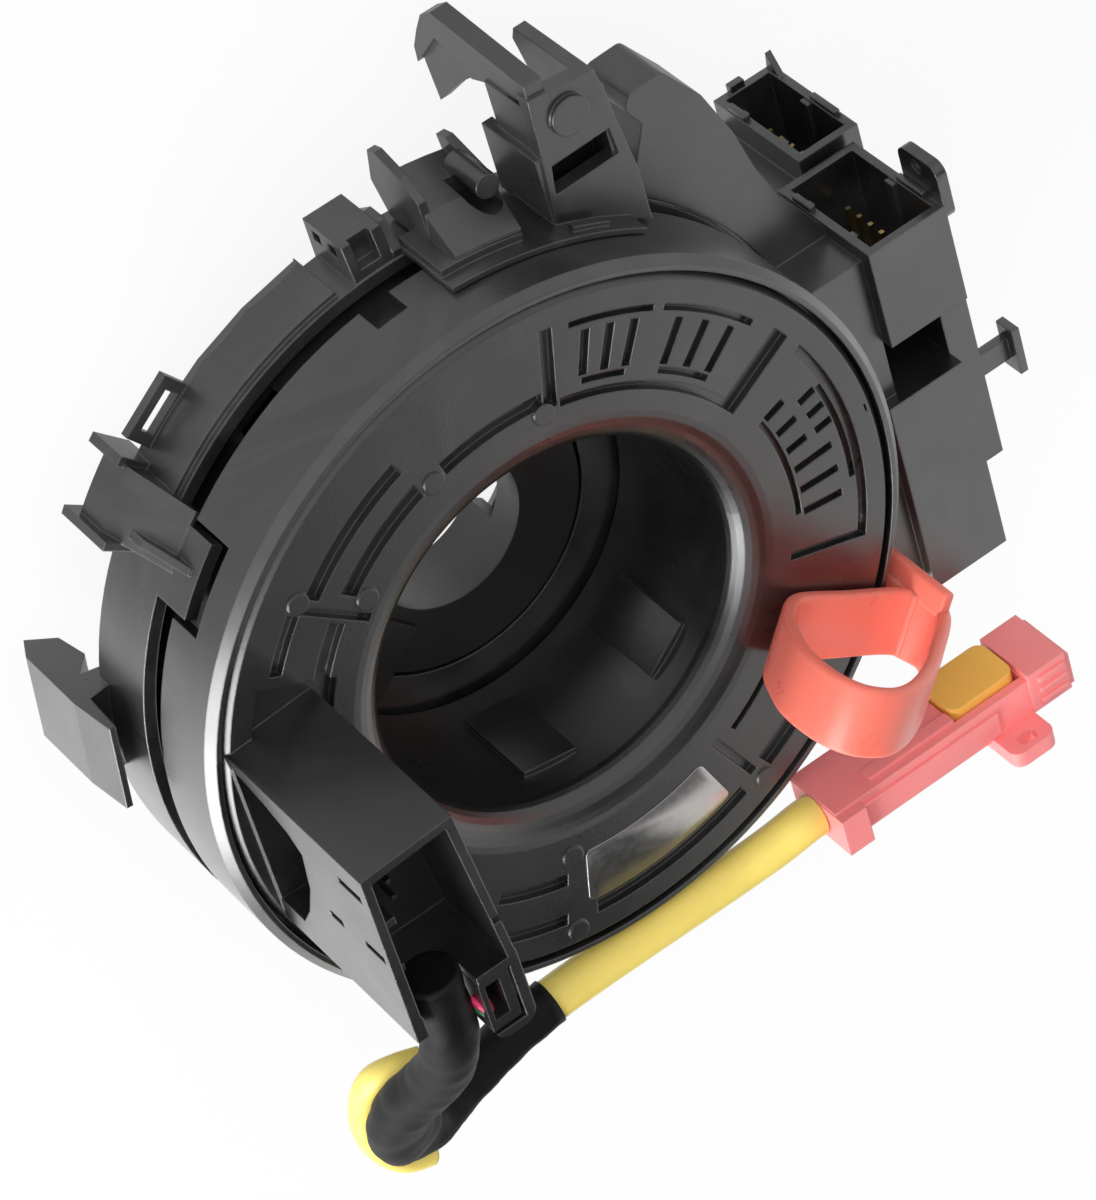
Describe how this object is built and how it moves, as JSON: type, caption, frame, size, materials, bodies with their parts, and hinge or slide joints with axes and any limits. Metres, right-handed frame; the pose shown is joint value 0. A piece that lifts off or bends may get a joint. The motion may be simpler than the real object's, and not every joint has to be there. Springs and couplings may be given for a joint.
{
  "type": "steering clock spring",
  "caption": "Round spiral-cable unit for a steering column, with a grooved rotor, angle sensor, wire sockets, a sleeved airbag lead with its connector and a transport lock clip.",
  "frame": {"origin": "on the turning axis, at the rear end of the shaft bore", "axes": "+Z along the axis towards the steering wheel, +X towards the connector block, +Y towards the socket mouths"},
  "size_m": [0.1354, 0.1398, 0.0776],
  "materials": {
    "black_plastic": "satin moulded",
    "dark_plastic": "satin moulded",
    "natural_plastic": "natural moulded",
    "pin_metal": "gold plated",
    "magnet": "sintered",
    "board": "solder mask",
    "chip": "moulded",
    "ribbon": "film",
    "label": "printed foil",
    "sleeve": "soft sleeve",
    "yellow_tube": "soft tube",
    "pink_connector": "moulded",
    "orange_lock": "moulded",
    "pink_clip": "moulded"
  },
  "bodies": {
    "housing": {"case_ring": "black_plastic", "case_body": "black_plastic", "connector_block": "black_plastic", "block_pins": "pin_metal", "outer_lead_block": "natural_plastic", "sensor_housing": "black_plastic", "sensor_cover": "dark_plastic", "sensor_board": "board", "sensor_chips": "chip", "sensor_pins": "pin_metal", "ribbon_cable": "ribbon"},
    "rotor": {"rotor": "black_plastic", "rotor_retainer": "dark_plastic", "angle_hub": "dark_plastic", "inner_lead_block": "natural_plastic", "tower_pins": "pin_metal", "lead_retainer": "dark_plastic", "label_plate": "label", "lead_sleeve_upper": "sleeve", "lead_sleeve_lower": "sleeve", "airbag_lead": "yellow_tube", "airbag_lead_loop": "yellow_tube", "airbag_connector": "pink_connector", "airbag_terminals": "pin_metal"},
    "gear_a": {"measuring_gear_a": "natural_plastic", "magnet_a": "magnet"},
    "gear_b": {"measuring_gear_b": "natural_plastic", "magnet_b": "magnet"},
    "connector_lock": {"connector_lock": "orange_lock"},
    "lock_clip": {"lock_clip": "pink_clip"}
  },
  "joints": [
    {"name": "rotor_spin", "type": "hinge", "parent": "housing", "child": "rotor", "pos_m": [0, 0, 0], "axis": [0, 0, 1], "range_deg": [-900, 900]},
    {"name": "gear_a_spin", "type": "hinge", "parent": "housing", "child": "gear_a", "pos_m": [-0.00479, 0.02718, 0.006], "axis": [0, 0, 1], "range_deg": [-2560, 2560]},
    {"name": "gear_b_spin", "type": "hinge", "parent": "housing", "child": "gear_b", "pos_m": [-0.02537, 0.00924, 0.006], "axis": [0, 0, 1], "range_deg": [-2800, 2800]},
    {"name": "connector_lock_slide", "type": "slide", "parent": "rotor", "child": "connector_lock", "axis": [0, 1, 0], "range_m": [0, 0.003]},
    {"name": "clip_pull", "type": "slide", "parent": "rotor", "child": "lock_clip", "axis": [0, 0, 1], "range_m": [0, 0.03]}
  ],
  "couplings": [
    {"joint": "gear_a_spin", "follows": "rotor_spin", "ratio": -2.8333},
    {"joint": "gear_b_spin", "follows": "rotor_spin", "ratio": -3.0909}
  ]
}
